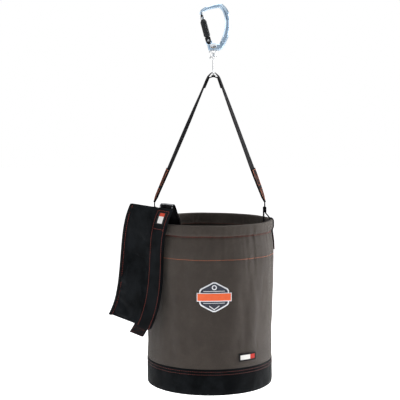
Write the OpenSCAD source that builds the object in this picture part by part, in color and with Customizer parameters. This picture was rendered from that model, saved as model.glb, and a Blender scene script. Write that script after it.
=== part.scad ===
// Canvas hoist bucket for tools: a round canvas bucket with a black base,
// hung by a webbing strap from a swivel carabiner, with its top cover folded
// and hung over the rim. Millimetres, +Z up. The origin is the inside of the
// carabiner's crown, where it bears on the hook or rail that it hangs from.

/* [Bucket] */
// Outside diameter over the black base
bucket_d = 318; // [240:1:400]
// Height from the underside to the top of the rim
bucket_h = 416; // [300:1:520]
// Thickness of the canvas, as sewn
canvas_t = 1.8; // [1.2:0.1:2.4]
// How far the soft wall swells beyond the base
belly = 3; // [0:0.5:8]
// How far seam one draws the wall in below the rim
pinch = 3.5; // [1:0.5:6]
// Height of the rolled rim, down to seam one
rim_h = 28; // [22:1:40]
// Depth of the turned-in facing, down to seam two
facing_h = 83; // [60:1:110]
// Thickness of the stiffening hoop in the rim
hoop_t = 4; // [2:0.5:5]

/* [Base] */
// Height of the black base cover
cover_h = 66; // [40:1:100]
// Thickness of the base cover
cover_t = 1.8; // [1.2:0.1:3]
// Radius of the base cover's bottom corner
corner_r = 9; // [4:1:14]
// Thickness of the moulded base board
board_t = 4; // [2:0.5:8]
// Height of the base board's turned-up lip
board_lip = 22; // [10:1:40]

/* [Hoist strap] */
// Width of the webbing
strap_w = 25; // [20:1:32]
// Thickness of one ply of webbing
strap_t = 2.2; // [1.6:0.1:2.6]
// Height of the eye's bar above the rim
strap_rise = 365; // [250:1:480]
// Height of the fork in each leg above the rim
fork_rise = 28; // [20:1:45]
// How far inside the rim each leg's fork stands
fork_inset = 20; // [12:1:30]
// Largest twist of a leg towards the front, in degrees
strap_twist = 22; // [0:1:40]
// Height that the keeper reaches below the bar
keeper_drop = 36; // [30:1:60]
// Height of the stitched lower lap above the fork
lap_h = 98; // [60:1:140]
// Depth of the sewn tails below the rim
tail_depth = 76; // [68:1:100]
// How far the bucket's axis hangs to the left of the swivel
sway = 9; // [0:1:20]

/* [Carabiner] */
// Height of the frame below the crown's inside
frame_h = 105; // [90:1:125]
// Width of the frame
frame_w = 76; // [66:1:90]
// Thickness of the frame, front to back
frame_t = 12; // [11:0.5:14]
// Diameter of the locking sleeve
sleeve_d = 16; // [14:0.5:18]
// Length of the locking sleeve
sleeve_l = 44; // [38:1:46]
// Diameter of the gate's rod
gate_d = 7; // [6:0.1:7.6]
// Diameter of the gate's rivet
rivet_d = 4; // [3:0.5:5]

/* [Swivel] */
// Diameter of the swivel's post
post_d = 8; // [6:0.5:9]
// Diameter of the swivel body's flange
flange_d = 23; // [18:1:28]
// Height of the swivel body
swivel_h = 20; // [16:1:26]
// Diameter of the eye's wire
eye_d = 4.5; // [3.5:0.5:6]
// Height of the eye, from the swivel body to the bar's centre
eye_h = 36; // [30:1:50]

/* [Top cover] */
// Height of the folded cover
flap_h = 303; // [240:1:360]
// Width of the folded cover
flap_w = 140; // [100:1:160]
// Thickness of each layer of the cover
flap_t = 3.2; // [2:0.2:5]
// Angle of the cover round the bucket, from the left side to the front
flap_turn = 48; // [35:1:60]
// Height of the cover's top edge above the rim
flap_rise = 38; // [30:1:50]
// How far the cover's foot hangs sideways
flap_lean = 62; // [0:1:80]
// How far the cover's foot stands out from the wall
flap_flare = 18; // [0:1:30]
// Width of the band sewn down the cover's edge
band_w = 42; // [25:1:50]
// Length of the pull tab at the band's end
tab_l = 20; // [16:1:30]

/* [Hidden] */

fine = 96;          // facets of a large round shape, which carry over as true circles
wire_fine = 48;     // facets of the eye's wire
gap = 0.3;          // clearance between soft pieces that move past each other
run = 0.15;         // radial clearance of a turning metal fit
sheet_gap = 0.2;    // between two plies of canvas that are only sewn together

// Heights, down from the crown.
swivel_x = -0.197 * frame_w;
swivel_top = -frame_h - 1.2;
bar_z = swivel_top - swivel_h - eye_h;
rim_z = bar_z - strap_rise;
base_z = rim_z - bucket_h;
fork_z = rim_z + fork_rise;
bucket_x = swivel_x - sway;

// Radii of the bucket.
base_r = bucket_d / 2;
wall_r = base_r - cover_t - canvas_t / 2 - 0.1;
rim_r = base_r + 0.5 - canvas_t / 2;
seam_r = rim_r - pinch;
fold_r = hoop_t / 2 + 1.4;
hoop_r = rim_r - fold_r;

// ---------- helpers ----------
function mix(a, b, t) = a + (b - a) * t;
function ease(t) = let (u = min(1, max(0, t))) u * u * (3 - 2 * u);
function unit(v) = v / norm(v);
function turn(v, a) = [v[0] * cos(a) - v[1] * sin(a), v[0] * sin(a) + v[1] * cos(a), v[2]];

// A smooth curve through points of any dimension, with a given number of steps between two points.
function spline_at(p, i, t) = let (
        a = p[max(0, i - 1)], b = p[i], c = p[i + 1], d = p[min(len(p) - 1, i + 2)])
    0.5 * (2 * b + (c - a) * t + (2 * a - 5 * b + 4 * c - d) * t * t
        + (3 * b - a - 3 * c + d) * t * t * t);
function spline(p, steps) = concat(
    [for (i = [0:len(p) - 2]) for (k = [0:steps - 1]) spline_at(p, i, k / steps)], [p[len(p) - 1]]);

function along(p, i) = unit(p[min(len(p) - 1, i + 1)] - p[max(0, i - 1)]);

// A flat outline that keeps a given half width on both sides of a line of [x, y] points.
function strip(p, half) = let (
        side = [for (i = [0:len(p) - 1]) let (d = along(p, i)) [d[1], -d[0]] * half])
    concat([for (i = [0:len(p) - 1]) p[i] + side[i]],
        [for (i = [len(p) - 1:-1:0]) p[i] - side[i]]);

// A closed skin over rings that have the same number of points.
module skin(rings) {
    n = len(rings[0]);
    m = len(rings);
    polyhedron([for (r = rings) each r], concat(
        [[for (i = [0:n - 1]) i]],
        [for (j = [0:m - 2]) for (i = [0:n - 1]) each [
            [j * n + i, (j + 1) * n + i, (j + 1) * n + (i + 1) % n],
            [j * n + i, (j + 1) * n + (i + 1) % n, j * n + (i + 1) % n]]],
        [[for (i = [n - 1:-1:0]) (m - 1) * n + i]]), convexity = 6);
}

// One cross-section of a ribbon: across is its width's direction, out its face's.
function ribbon_ring(c, across, out, w, t) = [
    c - across * w / 2 - out * t / 2, c + across * w / 2 - out * t / 2,
    c + across * w / 2 + out * t / 2, c - across * w / 2 + out * t / 2];

// A round wire wound into a coil round the Z axis.
module coil(r, wire, pitch, turns) {
    steps = 14;
    skin([for (i = [0:steps * turns])
        let (a = 360 * i / steps, c = [r * cos(a), r * sin(a), pitch * i / steps])
        [for (k = [0:5]) c + wire / 2 * (cos(60 * k) * [cos(a), sin(a), 0] + sin(60 * k) * [0, 0, 1])]]);
}

// ---------- carabiner ----------
// The bar's middle line and width, as shares of the frame's width and height.
bar_line = [[-0.588, -0.15, 0.115], [-0.59, -0.112, 0.115], [-0.545, -0.06, 0.115],
    [-0.416, -0.009, 0.125], [-0.253, 0.029, 0.14], [-0.112, 0.05, 0.15], [0.017, 0.056, 0.155],
    [0.134, -0.009, 0.165], [0.216, -0.11, 0.175], [0.274, -0.279, 0.18], [0.274, -0.448, 0.18],
    [0.216, -0.634, 0.185], [0.122, -0.804, 0.18],
    [0.01, -0.95, 0.16]];
bar_steps = 4;
pivot = [-0.364 * frame_w, -0.761 * frame_h];
nose = [bar_line[0][0] * frame_w, bar_line[0][1] * frame_h];
gate_tilt = atan2(pivot[0] - nose[0], nose[1] - pivot[1]);
gate_l = norm(nose - pivot);
pin_l = gate_l + 2.6;
pin_d = 2;
fork_r = 6.8;
tongue_t = 4.2;
latch_t = 3.4;
latch_w = 4.6;
boss_top = -0.83 * frame_h;
window_h = 8.5;
bridge_h = 7;
sleeve_at = 9;

module frame_outline(inset) {
    p = spline([for (q = bar_line) [q[0] * frame_w, q[1] * frame_h, q[2] * frame_w / 2]], bar_steps);
    flat = [for (q = p) [q[0], q[1]]];
    side = [for (i = [0:len(p) - 1]) let (d = along(flat, i)) [d[1], -d[0]] * (p[i][2] - inset)];
    polygon(concat([for (i = [0:len(p) - 1]) flat[i] + side[i]],
        [for (i = [len(p) - 1:-1:0]) flat[i] - side[i]]));
    // the boss that holds the swivel
    polygon([[pivot[0] - 4 + inset, boss_top - inset], [swivel_x - 12 + inset, -frame_h + inset],
        [swivel_x + 16 - inset, -frame_h + inset], [0.125 * frame_w - inset, -0.875 * frame_h],
        [0.09 * frame_w - inset, boss_top + 6 - inset], [0.02 * frame_w, boss_top - inset]]);
}

// Raises a shape that was drawn flat, so that its second direction becomes height.
module raised(t) { rotate([90, 0, 0]) linear_extrude(t, center = true) children(); }

module carabiner_frame() {
    color("lightsteelblue") difference() {
        union() {
            raised(frame_t) frame_outline(2.2);
            raised(frame_t - 4) frame_outline(0);
            // the tongue that carries the gate
            raised(tongue_t) gate_tongue();
        }
        // window round the swivel post's head
        translate([swivel_x - 7.5, -frame_t, -frame_h + bridge_h]) cube([15, 2 * frame_t, window_h]);
        // bore of the swivel post
        translate([swivel_x, 0, -frame_h - 1]) cylinder(d = post_d + 2 * run, h = bridge_h + 2, $fn = fine);
        // bore of the gate's rivet
        translate([pivot[0], 0, pivot[1]]) rotate([90, 0, 0])
            cylinder(d = rivet_d, h = 2 * frame_t, center = true, $fn = fine);
        // room for the gate's cheeks as they turn
        for (s = [-1, 1]) translate([pivot[0], s * (tongue_t + frame_t) / 2, pivot[1]]) rotate([90, 0, 0])
            cylinder(r = fork_r + 0.6, h = frame_t, center = true, $fn = fine);
        // slot for the gate's latch and notch for its pin, both open to the inside
        on_gate() translate([-latch_w / 2 - gap, -latch_t / 2 - gap, gate_l - 8])
            cube([12, latch_t + 2 * gap, 14.5]);
        on_gate() translate([-pin_d / 2 - 0.2, -frame_t, pin_l - pin_d / 2 - 0.2])
            cube([12, 2 * frame_t, 3.6]);
    }
}

// The tongue reaches from the boss up round the rivet.
module gate_tongue() {
    translate(pivot) circle(d = 2 * fork_r - 2, $fn = fine);
    translate([pivot[0] - fork_r + 1, boss_top - 3]) square([2 * fork_r + 2, pivot[1] - boss_top + 3]);
}

module gate_rivet() {
    color("silver") translate([pivot[0], 0, pivot[1]]) rotate([90, 0, 0]) {
        cylinder(d = rivet_d, h = frame_t - 0.4, center = true, $fn = fine);
        for (s = [0, 1]) mirror([0, 0, s]) translate([0, 0, frame_t / 2 - 0.2])
            cylinder(d1 = rivet_d + 1.6, d2 = rivet_d, h = 0.8, $fn = fine);
    }
}

// Places what is drawn along +Z from the rivet's centre on the gate's leaning line.
module on_gate() { translate([pivot[0], 0, pivot[1]]) rotate([0, -gate_tilt, 0]) children(); }

spring_r = gate_d / 2 + 0.95;
well_d = 3.8;
gate_wire = 0.8;
lock_wire = 0.9;
lock_pitch = 2.2;
collar_r = gate_d / 2 + 2;
collar_at = sleeve_at + sleeve_l + 0.4;

module gate_arm() {
    color("dimgray") on_gate() difference() {
        union() {
            // fork cheeks
            rotate([90, 0, 0]) cylinder(r = fork_r, h = frame_t - 0.6, center = true, $fn = fine);
            translate([-fork_r, -frame_t / 2 + 0.3, 0]) cube([2 * fork_r, frame_t - 0.6, sleeve_at - 0.7]);
            cylinder(d = gate_d, h = gate_l - 2.5, $fn = fine);
            // tip that carries the latch pin
            translate([-latch_w / 2, -latch_t / 2, gate_l - 8]) cube([latch_w, latch_t, 13]);
        }
        translate([-2 * fork_r, -tongue_t / 2 - gap / 2, -2 * fork_r])
            cube([4 * fork_r, tongue_t + gap, 2 * fork_r + fork_r + 0.4]);
        rotate([90, 0, 0]) cylinder(d = rivet_d + 2 * run, h = 2 * frame_t, center = true, $fn = fine);
        // well of the gate's spring and plunger
        translate([0, 0, fork_r]) cylinder(d = well_d, h = 22, $fn = fine);
        // eye of the latch pin
        translate([0, 0, pin_l]) rotate([90, 0, 0]) cylinder(d = pin_d, h = 20, center = true, $fn = fine);
    }
}

module gate_latch_pin() {
    color("silver") on_gate() translate([0, 0, pin_l]) rotate([90, 0, 0])
        cylinder(d = pin_d, h = gate_d, center = true, $fn = fine);
}

module gate_collar() {
    color("silver") on_gate() translate([0, 0, collar_at]) rotate_extrude($fn = fine)
        polygon([[gate_d / 2, 0], [collar_r - 1, 0], [collar_r, 1], [collar_r, 5],
            [collar_r - 1.5, 6.5], [gate_d / 2, 6.5]]);
}

module gate_spring() {
    color("silver") on_gate() translate([0, 0, fork_r + 6.4])
        coil(well_d / 2 - 0.7, gate_wire, 2 * gate_wire, 8);
}

module gate_plunger() {
    color("silver") on_gate() translate([0, 0, fork_r + 0.5]) {
        cylinder(d = well_d - 0.3, h = 4, $fn = fine);
        translate([0, 0, 4]) cylinder(d = 1.8, h = 1.2, $fn = fine);
    }
}

module lock_sleeve() {
    bore = gate_d / 2 + 0.2;
    room = spring_r + 0.7;
    color("black") on_gate() translate([0, 0, sleeve_at]) difference() {
        rotate_extrude($fn = fine) polygon([[bore, 0], [sleeve_d / 2 - 2.4, 0], [sleeve_d / 2, 2.6],
            [sleeve_d / 2, sleeve_l - 6], [sleeve_d / 2 - 3, sleeve_l], [bore, sleeve_l],
            [bore, sleeve_l - 8], [room, sleeve_l - 9], [room, 9], [bore, 8]]);
        // finger grooves
        for (a = [0:30:330]) rotate([0, 0, a]) translate([sleeve_d / 2 + 0.9, 0, 8])
            cylinder(d = 3.4, h = sleeve_l - 18, $fn = 24);
    }
}

module lock_spring() {
    color("silver") on_gate() translate([0, 0, sleeve_at + 10.5])
        coil(spring_r, lock_wire, lock_pitch, (sleeve_l - 22) / lock_pitch);
}

// ---------- swivel ----------
head_d = 13;
eye_in = strap_w + 6;
neck_r = flange_d * 0.29;
eye_foot = neck_r - 1.2;

module at_swivel(z) { translate([swivel_x, 0, z]) children(); }

module swivel_post() {
    color("silver") at_swivel(-frame_h + bridge_h + 1) {
        cylinder(d = head_d, h = 4, $fn = fine);
        translate([0, 0, 4]) cylinder(d1 = head_d, d2 = head_d - 3, h = 1, $fn = fine);
        translate([0, 0, -bridge_h - 11]) cylinder(d = post_d, h = bridge_h + 11.5, $fn = fine);
    }
}

module swivel_washer() {
    color("goldenrod") at_swivel(-frame_h + bridge_h + 0.1) difference() {
        cylinder(d = head_d, h = 0.8, $fn = fine);
        translate([0, 0, -1]) cylinder(d = post_d + run, h = 3, $fn = fine);
    }
}

module swivel_body() {
    color("silver") at_swivel(swivel_top) difference() {
        rotate_extrude($fn = fine) polygon(concat(
            [[post_d / 2, 0], [flange_d / 2 - 3.5, 0]],
            [for (a = [75:-25:-25]) [flange_d / 2 - 3.2 + 3.2 * cos(a), -3.2 + 3.2 * sin(a)]],
            [[neck_r, -8], [neck_r, -swivel_h + 8]],
            [for (a = [60:-30:-90]) [neck_r + 0.5 + 2.8 * cos(a), -swivel_h + 2.8 + 2.8 * sin(a)]],
            [[0, -swivel_h], [0, -11], [post_d / 2, -11]]));
        // cross bores that take the eye's two ends
        for (s = [-1, 1]) translate([0, s * eye_foot, -swivel_h - 1])
            cylinder(d = eye_d, h = 5, $fn = wire_fine);
    }
}

// The eye is a bent wire: a straight bar, two sides that lean in, and two ends that stand upright
// in the swivel body.
eye_bend = 5;
eye_knee = 8;
knee_clear = 0.65;

// A length of the wire along +Z, which runs a little into the bend at each end.
module wire(length) {
    translate([0, 0, -0.4]) cylinder(d = eye_d, h = length + 0.8, $fn = wire_fine);
}

module wire_bend(radius, angle) {
    rotate([0, 90, 0]) rotate_extrude(angle = angle, $fn = wire_fine) translate([radius, 0])
        circle(d = eye_d + 0.1, $fn = wire_fine);
}

module swivel_eye() {
    half = eye_in / 2 + eye_d / 2;
    knee_z = swivel_top - swivel_h - knee_clear;
    // a side's line touches the bend at the bar and the knee below the body
    apart = [eye_foot + eye_knee - (half - eye_bend), knee_z - bar_z - eye_bend];
    eye_lean = atan2(apart[1], apart[0]) - acos((eye_bend + eye_knee) / norm(apart));
    side = sqrt(apart * apart - pow(eye_bend + eye_knee, 2));
    low_y = half - eye_bend + eye_bend * cos(eye_lean);
    low_z = bar_z + eye_bend + eye_bend * sin(eye_lean);
    color("gainsboro") at_swivel(0) {
        translate([0, eye_bend - half, bar_z]) rotate([-90, 0, 0]) wire(2 * (half - eye_bend));
        for (s = [0, 1]) mirror([0, s, 0]) {
            translate([0, half - eye_bend, bar_z + eye_bend]) wire_bend(eye_bend, 90 + eye_lean);
            translate([0, low_y, low_z]) rotate([eye_lean, 0, 0]) wire(side);
            translate([0, eye_foot + eye_knee, knee_z]) rotate([-90, 0, 0]) wire_bend(eye_knee, eye_lean);
            translate([0, eye_foot, knee_z]) wire(swivel_top - swivel_h + 3.6 - knee_z);
        }
    }
}

// ---------- hoist strap ----------
bar_clear = eye_d / 2 + 0.5;
apex_z = bar_z + bar_clear + strap_t / 2;

// A leg's middle line on one side, s = -1 left and 1 right, from the apex to the fork.
function fork_x(s) = bucket_x + s * (base_r - fork_inset);
knee_drop = 9;
knee_out = 14;
leg_foot = 22;
leg_set = 3;
leg_heights = concat(
    [for (k = [0:2]) mix(bar_z - knee_drop, bar_z - keeper_drop, k / 3)],
    [for (k = [0:4]) mix(bar_z - keeper_drop, fork_z + lap_h, k / 5)],
    [for (k = [0:2]) mix(fork_z + lap_h, fork_z + leg_foot, k / 3)]);
function leg_line(s) = let (
        knee = [swivel_x + s * knee_out, bar_z - knee_drop],
        end = [fork_x(s), fork_z])
    concat(
        [for (t = [0:0.25:0.75])
            [swivel_x + s * knee_out * t, apex_z - (apex_z - knee[1]) * pow(t, 1.7)]],
        [for (z = leg_heights)
            [mix(knee[0], end[0] - s * leg_set, (knee[1] - z) / (knee[1] - end[1] - leg_foot)), z]],
        [[end[0] - s * leg_set, end[1] + leg_foot], [end[0], end[1] + strap_w * 0.54], end,
            [end[0], end[1] - strap_w * 0.25], [end[0], end[1] - strap_w * 0.43]]);
function leg_twist(s, z) = let (t = (z - fork_z) / (bar_z - fork_z))
    s * strap_twist * ease(t / 0.3) * mix(1, 0.4, ease((t - 0.3) / 0.7)) * ease((1.02 - t) / 0.06);

// Rings of a ply that follows a leg, at a distance out from the leg's middle, between two heights.
function leg_ring(s, line, i, offset, w) = let (
        d2 = i == 0 ? [s, 0] : along(line, i),
        twist = leg_twist(s, line[i][1]),
        d = [d2[0], 0, d2[1]],
        flat = unit([-d[2] * s, 0, d[0] * s]),
        out = flat * cos(twist) + [0, -1, 0] * sin(twist) * s,
        across = cross(d, out) * s)
    ribbon_ring([line[i][0], 0, line[i][1]] + out * offset, across, out, w, strap_t);

function leg_width(line, i, s) = let (drop = fork_z - line[i][1])
    drop <= 0 ? strap_w : 2 * sqrt(max(1, pow(strap_w / 2, 2) - drop * drop));

module strap_leg(s) {
    line = leg_line(s);
    skin([for (i = [0:len(line) - 1]) leg_ring(s, line, i, 0, leg_width(line, i, s))]);
}
module strap_leg_left() { color("black") strap_leg(-1); }
module strap_leg_right() { color("black") strap_leg(1); }

// The keeper is a second ply that passes under the bar, sewn to the inside of both legs.
module strap_keeper() {
    function keeper_side(s) = let (line = leg_line(s))
        [for (i = [4:len(line) - 1]) if (line[i][1] > bar_z - keeper_drop - 0.5)
            leg_ring(s, line, i, -strap_t - 0.3, strap_w)];
    left = keeper_side(-1);
    low = bar_z - bar_clear - strap_t / 2 - 3.5;
    color("black") skin(concat([for (i = [len(left) - 1:-1:0]) left[i]],
        [ribbon_ring([swivel_x, 0, low], [0, -1, 0], [0, 0, 1], strap_w, strap_t)], keeper_side(1)));
}

// The lap is a short ply on the outside of each leg, above its fork.
module lower_lap(s) {
    line = leg_line(s);
    n = len(line);
    above = [for (i = [0:n - 1])
        if (line[i][1] < fork_z + lap_h + 0.5 && line[i][1] > fork_z + strap_w * 0.6) i];
    skin([for (i = above) leg_ring(s, line, i, strap_t + 0.05, strap_w - 1)]);
}
module lower_lap_left() { color("black") lower_lap(-1); }
module lower_lap_right() { color("black") lower_lap(1); }

// ---------- bucket ----------
module in_bucket() { translate([bucket_x, 0, base_z]) children(); }

seam_one = bucket_h - rim_h;
seam_two = bucket_h - facing_h;

// Middle line of the wall's outer ply, [radius, height], from the base to the rim's top.
wall_line = concat([[wall_r, corner_r + 0.5], [wall_r, cover_h - 4]],
    spline([[wall_r, cover_h + 4], [base_r + belly * 0.4, cover_h + 40],
        [base_r + belly - canvas_t / 2, seam_two - 80], [base_r + belly - canvas_t / 2, seam_two - 5],
        [mix(base_r + belly, seam_r, 0.45), seam_one - 16],
        [seam_r, seam_one]], 3),
    [[rim_r - 1.4, seam_one + 3], [rim_r, seam_one + 7], [rim_r, bucket_h - fold_r - canvas_t / 2]]);
rim_top = [for (a = [30:30:150]) [hoop_r + fold_r * cos(a),
    bucket_h - fold_r - canvas_t / 2 + fold_r * sin(a)]];
ply = canvas_t + sheet_gap;
facing_line = [[hoop_r - fold_r, bucket_h - fold_r - canvas_t / 2], [hoop_r - fold_r, seam_one + 7],
    [seam_r - ply - 0.4, seam_one + 2], [seam_r - ply, seam_one],
    [mix(base_r + belly, seam_r, 0.45) - ply, seam_one - 16],
    [mix(base_r + belly, seam_r, 0.12) - ply - 1, seam_one - 34],
    [base_r + belly - canvas_t / 2 - ply, seam_two]];

module canvas_body() {
    color("dimgray") in_bucket() rotate_extrude($fn = fine)
        polygon(strip(concat(wall_line, rim_top, facing_line), canvas_t / 2));
}

hoop_low = seam_one + 6;
module rim_hoop() {
    color("white") in_bucket() translate([0, 0, hoop_low]) difference() {
        cylinder(r = hoop_r + hoop_t / 2, h = bucket_h - canvas_t - 3 - hoop_low, $fn = fine);
        translate([0, 0, -1]) cylinder(r = hoop_r - hoop_t / 2, h = rim_h, $fn = fine);
    }
}

module base_cover() {
    inner = base_r - cover_t;
    color("black") in_bucket() rotate_extrude($fn = fine) polygon(concat(
        [[0, 0]],
        [for (a = [-90:22.5:0])
            [base_r - corner_r + corner_r * cos(a), corner_r + corner_r * sin(a)]],
        [[base_r, cover_h], [inner, cover_h]],
        [for (a = [0:-22.5:-90]) [base_r - corner_r + (corner_r - cover_t) * cos(a),
            corner_r + (corner_r - cover_t) * sin(a)]],
        [[0, cover_t]]));
}

module base_board() {
    rim = wall_r - canvas_t / 2 - 0.4;
    round = corner_r;
    lip_t = 2.5;
    color("darkslategray") in_bucket() translate([0, 0, cover_t]) rotate_extrude($fn = fine) polygon(concat(
        [[0, 0]],
        [for (a = [-90:30:0]) [rim - round + round * cos(a), round + round * sin(a)]],
        [[rim, board_lip], [rim - lip_t, board_lip], [rim - lip_t, round], [rim - round, board_t],
            [0, board_t]]));
}

// Sewn tails of a leg: one ply goes down inside the rim, the other over it and down outside.
tail_gap = strap_t / 2 + gap + strap_t / 2;
inside_r = seam_r - ply - canvas_t / 2;
module tail(s, line) {
    skin([for (i = [0:len(line) - 1]) let (d = along(line, i), out = [d[1], 0, -d[0]])
        ribbon_ring([bucket_x + s * line[i][0], 0, base_z + line[i][1]], [0, s, 0],
            [-out[0] * s, 0, -out[2]], strap_w, strap_t)]);
}
fork_up = bucket_h + fork_rise;
fork_r_at = base_r - fork_inset;
skin_r = base_r + belly;
tail_in_r = skin_r - canvas_t * 2.5 - strap_t / 2;
rim_out = rim_r + canvas_t / 2 + strap_t / 2 + 0.3;
inner_line = spline([[fork_r_at - tail_gap, fork_up + 2], [fork_r_at - tail_gap, fork_up - 14],
    [fork_r_at - tail_gap + 1, bucket_h - 8], [inside_r - 7, seam_one - 6],
    [tail_in_r - 4, seam_one - 30], [tail_in_r - 2.4, bucket_h - tail_depth]], 3);
rim_bend = rim_out - hoop_r;
outer_line = concat([[fork_r_at + tail_gap, fork_up + 2], [fork_r_at + tail_gap, fork_up - 13]],
    [for (a = [110:-22:0])
        [hoop_r + rim_bend * cos(a), bucket_h - fold_r - canvas_t / 2 + rim_bend * sin(a)]],
    spline([[rim_out, seam_one + 8], [rim_out, seam_one - 1],
    [skin_r + strap_t / 2 + 1, seam_one - 24], [skin_r + strap_t / 2 + 2, bucket_h - tail_depth]], 3));

module inner_tail_left() { color("black") tail(-1, inner_line); }
module inner_tail_right() { color("black") tail(1, inner_line); }
module outer_tail_left() { color("black") tail(-1, outer_line); }
module outer_tail_right() { color("black") tail(1, outer_line); }

// A thin patch that follows the wall: its height, width, middle height and angle round from the front.
module wall_patch(w, h, up, round, r, t) {
    in_bucket() rotate([0, 0, -90 + round]) translate([0, 0, up - h / 2])
        rotate([0, 0, -w / r * 90 / PI]) rotate_extrude(angle = w / r * 180 / PI, $fn = fine)
            translate([r, 0]) square([t, h]);
}
badge_w = 84;
badge_h = 78;
label_w = 52;
label_h = 19;
badge_up = 0.587 * bucket_h;
label_up = cover_h + 26;
tape_w = 20;
module front_badge() {
    color("darkorange") wall_patch(badge_w, badge_h, badge_up, 3.5, skin_r + 0.5, 0.8);
}
module woven_label() {
    color("firebrick") wall_patch(label_w, label_h, label_up, 35, skin_r - 0.6, 0.9);
}
module back_seam_tape() {
    color("dimgray")
        wall_patch(tape_w, seam_two - cover_h - 20, (seam_two + cover_h) / 2, 180, skin_r + 0.5, 1.2);
}

// ---------- top cover ----------
// The cover hangs in an upright plane that touches the rim at an angle round from the left side.
// Its directions: out from the wall, and back round the bucket to the left.
flap_out = [-cos(flap_turn), -sin(flap_turn), 0];
flap_back = [-sin(flap_turn), cos(flap_turn), 0];
flap_top = rim_z + flap_rise;
flap_clear = base_r + belly + strap_t + 1.5;
flap_right = -32;
flap_steps = 12;

// The panel widens a little towards its foot, and its rows rise towards its left side.
function flap_spot(v, across, out) = [bucket_x, 0, 0]
    + flap_back * (flap_right + across * (1 + 0.05 * v) + flap_lean * (0.5 + 4 * pow(v - 0.5, 3)))
    + flap_out * (flap_clear + out + flap_flare * v * v)
    + [0, 0, flap_top - flap_h * v + across * (0.05 + 0.09 * v)];

// A panel of the cover between two shares of its height, from one distance across to another.
module flap_panel(v0, v1, a0, a1, out, t) {
    skin([for (i = [0:flap_steps]) let (v = mix(v0, v1, i / flap_steps))
        [flap_spot(v, a0, out), flap_spot(v, a1, out), flap_spot(v, a1, out + t),
            flap_spot(v, a0, out + t)]]);
}
module cover_back() { color("black") flap_panel(0, 0.97, 2, flap_w - 3, 0, flap_t); }
module cover_front() { color("black") flap_panel(0.004, 0.985, 0, flap_w - 2, flap_t + 0.1, flap_t); }
module cover_edge_binding() {
    color("black") flap_panel(0.004, 0.985, flap_w - 1.9, flap_w + 1, -0.4, 2 * flap_t + 1);
}
band_out = 2 * flap_t + 0.2;
band_t = 1.6;
module cover_band() { color("black") flap_panel(0.012, 0.985, 1, band_w, band_out, band_t); }
module cover_woven_tag() {
    color("firebrick") flap_panel(0.03, 0.13, 8, band_w - 8, band_out + band_t + 0.05, 0.6);
}

// The pull tab is the band's end, folded under the cover's foot and sewn to a thick square.
tab_at = 10;
tab_t = 5;
module cover_pull_tab() {
    foot = 0.992;
    color("black") flap_panel(foot, foot + tab_l / flap_h, tab_at, tab_at + band_w + 2, 0.5, tab_t);
}

// The hanger is a doubled tab that bends at the hinge line behind the cover's top edge, goes over
// the rim and is pressed to the inside of the facing.
hanger_w = 46;
hanger_at = 26;
hinge_out = flap_clear - 0.5;
hinge_up = flap_rise + 3;
hanger_t = 1.8;
hanger_line = spline([[hinge_out - 1.2, hinge_up - 2], [hinge_out - 1.8, hinge_up + 3],
    [hinge_out - 7, hinge_up + 6], [hoop_r - 8, 24], [hoop_r - 15, 10], [hoop_r - 16, -8],
    [hoop_r - 13, -34]], 3);
// A ply of the hanger that follows its line at a distance above or inside it.
module hanger_ply(line, above, t, w) {
    skin([for (i = [0:len(line) - 1]) let (d = along(line, i), n = flap_out * -d[1] + [0, 0, d[0]],
            c = [bucket_x, 0, rim_z + line[i][1]] + flap_back * (flap_right + hanger_at)
                + flap_out * line[i][0])
        ribbon_ring(c - n * above, flap_back, n, w, t)]);
}
module cover_hanger() { color("black") hanger_ply(hanger_line, 0, hanger_t, hanger_w); }
module cover_hanger_loop_tape() {
    color("lightgray") hanger_ply([for (i = [4:16]) hanger_line[i]], -hanger_t - 0.1, 1.4, hanger_w - 4);
}

carabiner_frame();
gate_rivet();
gate_arm();
gate_collar();
gate_latch_pin();
gate_spring();
gate_plunger();
lock_sleeve();
lock_spring();
swivel_post();
swivel_washer();
swivel_body();
swivel_eye();
strap_leg_left();
strap_leg_right();
strap_keeper();
lower_lap_left();
lower_lap_right();
canvas_body();
rim_hoop();
base_cover();
base_board();
inner_tail_left();
inner_tail_right();
outer_tail_left();
outer_tail_right();
front_badge();
woven_label();
back_seam_tape();
cover_hanger();
cover_hanger_loop_tape();
cover_front();
cover_back();
cover_edge_binding();
cover_band();
cover_woven_tag();
cover_pull_tab();
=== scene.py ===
import math
from math import cos, pi, sin

import bpy
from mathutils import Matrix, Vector, noise


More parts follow.
